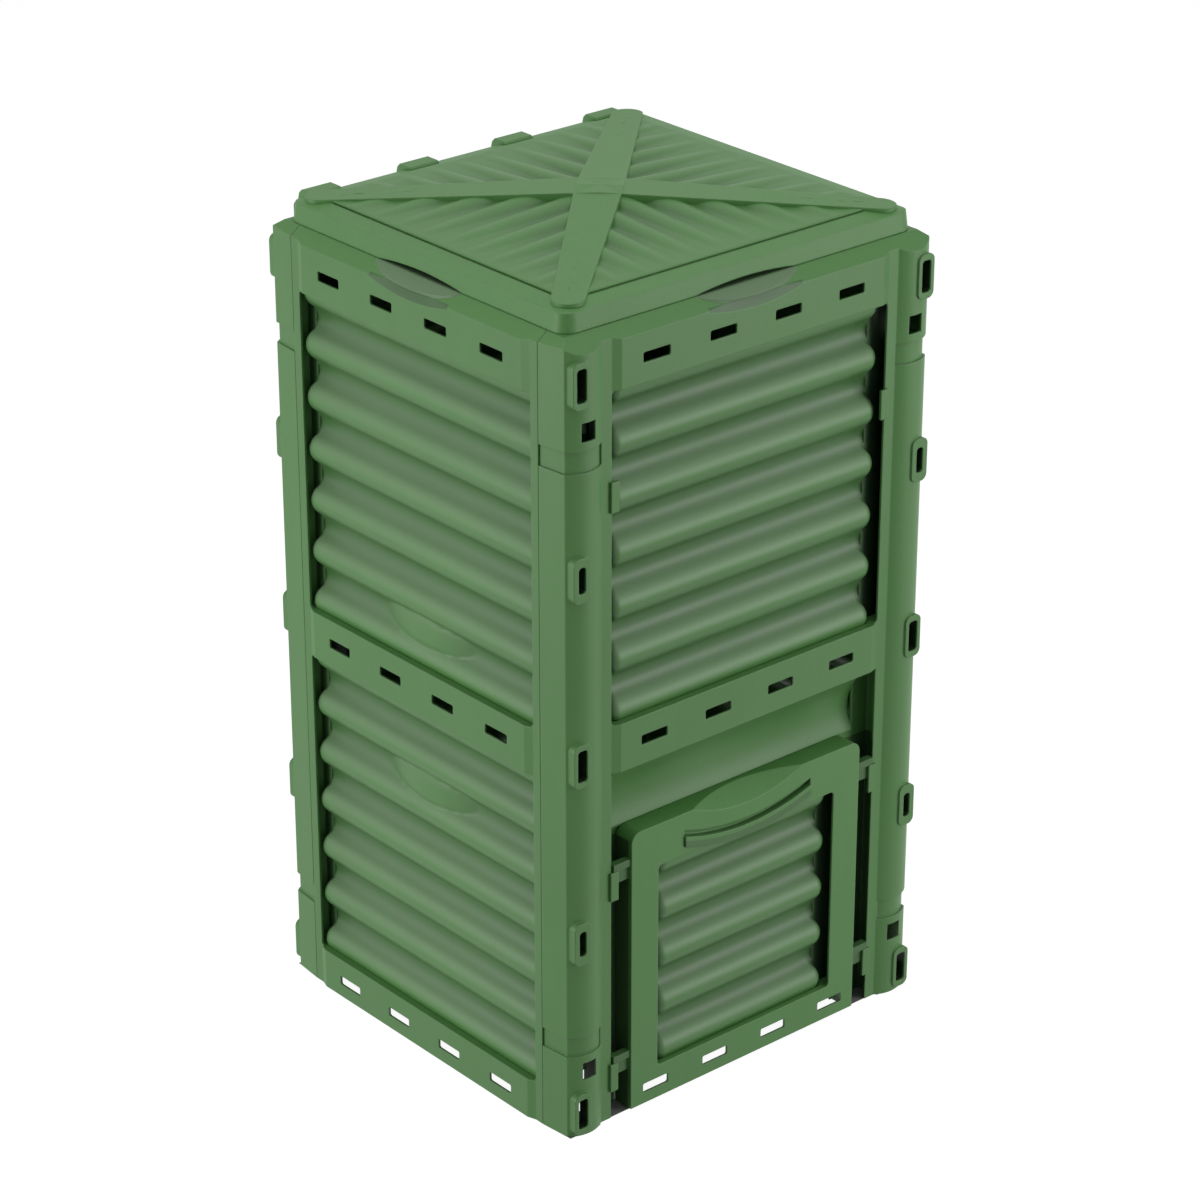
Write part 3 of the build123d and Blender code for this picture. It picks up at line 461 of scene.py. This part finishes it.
def in_window(side, distance, strip_half, windows):
    """Picks the triangles of a wall's own sheets: deeper than the crests, inside a window's height and width."""
    axis, sign = {"front": (1, -1), "back": (1, 1), "left": (0, -1), "right": (0, 1)}[side]
    slack = 1e-5

    def picked(corners, normals):
        depth = distance - sign * corners[..., axis]
        along = np.abs(corners[..., 1 - axis]).max(1)
        z = corners[..., 2]
        gone = np.zeros(len(corners), bool)
        for low, high in windows:
            gone |= (z.min(1) > low - slack) & (z.max(1) < high + slack)
        behind = depth.min(1) > CREST - 0.0005
        return gone & behind & (along < strip_half + slack) & (np.abs(normals[:, axis]) > 0.02)

    return picked


def door_inside(corners, normals):
    """Picks the door's own sheet and the ledge that closes its foot behind the slots."""
    sheet = in_window("front", DOOR_Y, DOOR_SHAPE[4], (DOOR_WINDOW,))(corners, normals)
    low = corners[..., 2].max(1) < DOOR_FOOT + WALL + 2e-4
    behind = corners[..., 1].max(1) > WALL - DOOR_Y + 1e-4
    return sheet | (low & behind & (np.abs(corners[..., 0]).max(1) < DOOR_HALF + 1e-4))


def on_slopes(corners, normals):
    """Picks the lid's own slope triangles: inside the groove, above its level, facing up."""
    slack = 2e-4
    inside = np.abs(corners[..., 0]).max(1) < LID_X - LID_GROOVE + slack
    inside &= np.abs(corners[..., 1]).max(1) < LID_Y - LID_GROOVE + slack
    return inside & (corners[..., 2].min(1) > LID_LOW - slack) & (normals[:, 2] > 0.3)


def walls():
    """The four walls: a plate each, with a sheet in every window but the front's lower one, the door's."""
    for side, distance, shape, windows in (
        ("front", STILE_Y, FRONT_SHAPE, WINDOWS[1:]),
        ("back", STILE_Y, FRONT_SHAPE, WINDOWS),
        ("left", STILE_X, SIDE_SHAPE, WINDOWS),
        ("right", STILE_X, SIDE_SHAPE, WINDOWS),
    ):
        skipped = in_window(side, distance, shape[4], windows)
        dressed(welded_copy(side + "_panel", side + "_wall_plate", wall_green, skipped), "bin")
        for number, (low, high) in enumerate(windows):
            pad = PAD_LEVELS[number] if side == "left" else None
            sheet = ridged_sheet(f"{side}_wall_sheet_{number + 1}", side, low, high, distance, shape, pad)
            dressed(sheet, "bin")


def door():
    """The door's shell, its sheet, and the slanted edge of the skin at its foot.

    The edge runs round three sides, from the bottom of the face to the bottom of the skin's inner side.
    """
    dressed(welded_copy("door", "door_shell", door_green, door_inside), "door")
    sheet = ridged_sheet("door_sheet", "front", *DOOR_WINDOW, DOOR_Y, DOOR_SHAPE)
    dressed(sheet, "door")
    rows = []
    for inset in (0.0, WALL):
        half, face, level = DOOR_HALF - inset, inset - DOOR_Y, DOOR_FOOT + inset
        around = ((half, -DOOR_BACK), (half, face), (-half, face), (-half, -DOOR_BACK))
        rows.append([(x, y, level) for x, y in around])
    dressed(surface("door_foot_edge", np.array(rows), door_green), "door")


def fittings():
    """The nodes that keep their shape: hooks, tongues, tabs, lugs, handle, hinge and cross brace."""
    for node, slot, finish, body in (
        ("left_panel_hooks", "clip_plastic", shaded_clip_green, "bin"),
        ("right_panel_hooks", "clip_plastic", shaded_clip_green, "bin"),
        ("left_latch_tongues", "clip_plastic", shaded_clip_green, "bin"),
        ("right_latch_tongues", "clip_plastic", shaded_clip_green, "bin"),
        ("door_guide_tabs", "wall_plastic", wall_green, "bin"),
        ("hinge_ears", "wall_plastic", wall_green, "bin"),
        ("hinge_pins", "pin_plastic", pin_green, "bin"),
        ("door_lugs", "door_plastic", shaded_lug_green, "door"),
        ("door_handle", "door_plastic", handle_green, "door"),
        ("lid_cross_brace", "lid_plastic", lid_green, "lid"),
        ("lid_hinge_knuckles", "lid_plastic", lid_green, "lid"),
    ):
        dressed(welded_copy(node, "dressed_" + node, finish), body)


def lid_slope(name, turn, run, span):
    """One ridged slope of the lid.

    The slope falls evenly from the crossing to the groove. A ridge's top stands above it by its full
    height at the strap, and that falls evenly to nothing at the border; the full height is the root of
    how far out the ridge stands, less from one. Across, each ridge is an arc of one radius, and it
    flows into the slope by the smooth maximum of both: the ridge's fillet times the logarithm of one
    plus the exponential of the arc over the fillet. The attribute dip grows with the distance below
    the ridge's top, is full after 6 mm, and fades where the ridge is less than 4 mm high.
    """
    across_steps, down_steps, crossing = 281, 64, 0.05
    u, v = np.meshgrid(np.linspace(-1, 1, across_steps), np.linspace(crossing, 1, down_steps))
    x = u * v * (span - LID_GROOVE)
    y = v * (run - LID_GROOVE)
    last = np.floor(LAST_RIDGE * span / RIDGE_PITCH)
    middle = np.clip(np.round(x / RIDGE_PITCH), -last, last) * RIDGE_PITCH
    share = np.abs(middle) / span
    fade = np.clip((run - y) / (run * (1 - share)), 0, 1)
    top = RIDGE_HEIGHT * np.sqrt(1 - share) * fade
    radius = RIDGE_SPAN ** 2 / (8 * RIDGE_HEIGHT)
    arc = top - radius + np.sqrt(radius ** 2 - np.minimum(np.abs(x - middle), 0.9 * radius) ** 2)
    stand = RIDGE_FILLET * np.log(1 + np.exp(arc / RIDGE_FILLET)) * np.clip(fade * 6, 0, 1)
    z = LID_LOW + LID_RISE * (1 - y / run) + stand
    c, s = math.cos(turn), math.sin(turn)
    grid = np.stack([x * c + y * s, x * s - y * c, z], -1)
    # painted shade: darker below the ridges' tops
    hollow_shade = 0.50 * np.clip((top - stand) / 0.006, 0, 1) * np.clip(top / 0.004, 0, 1)
    return surface(name, grid, slope_green, LID_SKIN, hollow_shade)


def lid():
    """The lid's plate and its four slopes, a quarter turn apart."""
    dressed(welded_copy("lid", "lid_plate", lid_green, on_slopes), "lid")
    for number, (run, span) in enumerate(((LID_Y, LID_X), (LID_X, LID_Y)) * 2):
        slope = lid_slope(f"lid_slope_{number + 1}", number * math.pi / 2, run, span)
        dressed(slope, "lid")


def shut_floor(x, y):
    """1 where the floor is shut in: inside the four hollow columns and behind the door's side gaps. There the floor
    gets no glow, which paints shade.
    """
    column = x.size().within(*COLUMN_X) * y.size().within(*COLUMN_Y)
    gap = x.size().within(*BEHIND_X) * y.size().within(*BEHIND_Y)
    return (column + gap).clamped()


def studio():
    """White sweep of floor, a pale surround, a wide top light and two side lights."""
    mesh = bpy.data.meshes.new("floor")
    corners = [(x * FLOOR_HALF, y * FLOOR_HALF, FLOOR_LEVEL) for x, y in ((-1, -1), (1, -1), (1, 1), (-1, 1))]
    mesh.from_pydata(corners, [], [(0, 1, 2, 3)])
    floor = bpy.data.objects.new("floor", mesh)
    bpy.context.scene.collection.objects.link(floor)
    finish = Finish("white_floor")
    x, y, _ = finish.axes(finish.place())
    # painted shade: no glow where the floor is shut in
    shown = finish.seen_ray() * FLOOR_GLOW * (1.0 - shut_floor(x, y))
    base = finish.make("BsdfDiffuse", None, {"Color": shaded(WHITE, FLOOR_GREY)})
    glow = finish.make("Emission", None, {"Color": WHITE, "Strength": shown})
    finish.make("OutputMaterial", None, {"Surface": finish.make("AddShader", None, {0: base, 1: glow})})
    mesh.materials.append(finish.material)

    world = bpy.data.worlds.new("surround")
    bpy.context.scene.world = world
    surround = Finish("surround", world)
    strength = SURROUND + surround.seen_ray() * (1.0 - SURROUND)
    light = surround.make("Background", None, {"Color": WHITE, "Strength": strength})
    surround.make("OutputWorld", None, {"Surface": light})

    lamp("top_light", (-0.2, -0.3, 3.4), (0, 0, 0.9), width=2.4, height=2.4, power=32)
    lamp("left_light", (-3.3, 1.0, 0.95), (0, 0, 0.50), width=1.6, height=2.0, power=55)
    lamp("right_light", (2.1, -3.2, 1.1), (0, 0, 0.50), width=1.6, height=2.0, power=57)


def lamp(name, place, aim, width, height, power):
    """Soft rectangular light that points from place to aim."""
    data = bpy.data.lights.new(name, "AREA")
    data.shape = "RECTANGLE"
    data.size = width
    data.size_y = height
    data.energy = power
    light = bpy.data.objects.new(name, data)
    light.location = place
    light.rotation_euler = (Vector(aim) - Vector(place)).to_track_quat("-Z", "Y").to_euler()
    bpy.context.scene.collection.objects.link(light)


def camera():
    """The photograph's viewpoint, by azimuth, elevation and distance from a point near the bin's middle."""
    azimuth, elevation, distance = math.radians(-40.64), math.radians(25.13), 4.94325
    back = Vector((
        math.sin(azimuth) * math.cos(elevation), -math.cos(azimuth) * math.cos(elevation), math.sin(elevation)
    ))
    right = Vector((math.cos(azimuth), math.sin(azimuth), 0))
    up = back.cross(right)
    aim = Vector((0, 0, 0.520)) + right * 0.00027 + up * 0.02898
    data = bpy.data.cameras.new("camera")
    data.lens = 115.43
    data.sensor_width = 36.0
    eye = bpy.data.objects.new("camera", data)
    eye.location = aim + back * distance
    eye.rotation_euler = (-back).to_track_quat("-Z", "Y").to_euler()
    bpy.context.scene.collection.objects.link(eye)
    bpy.context.scene.camera = eye


walls()
door()
fittings()
lid()
studio()
camera()
bpy.context.scene.view_settings.view_transform = "Standard"
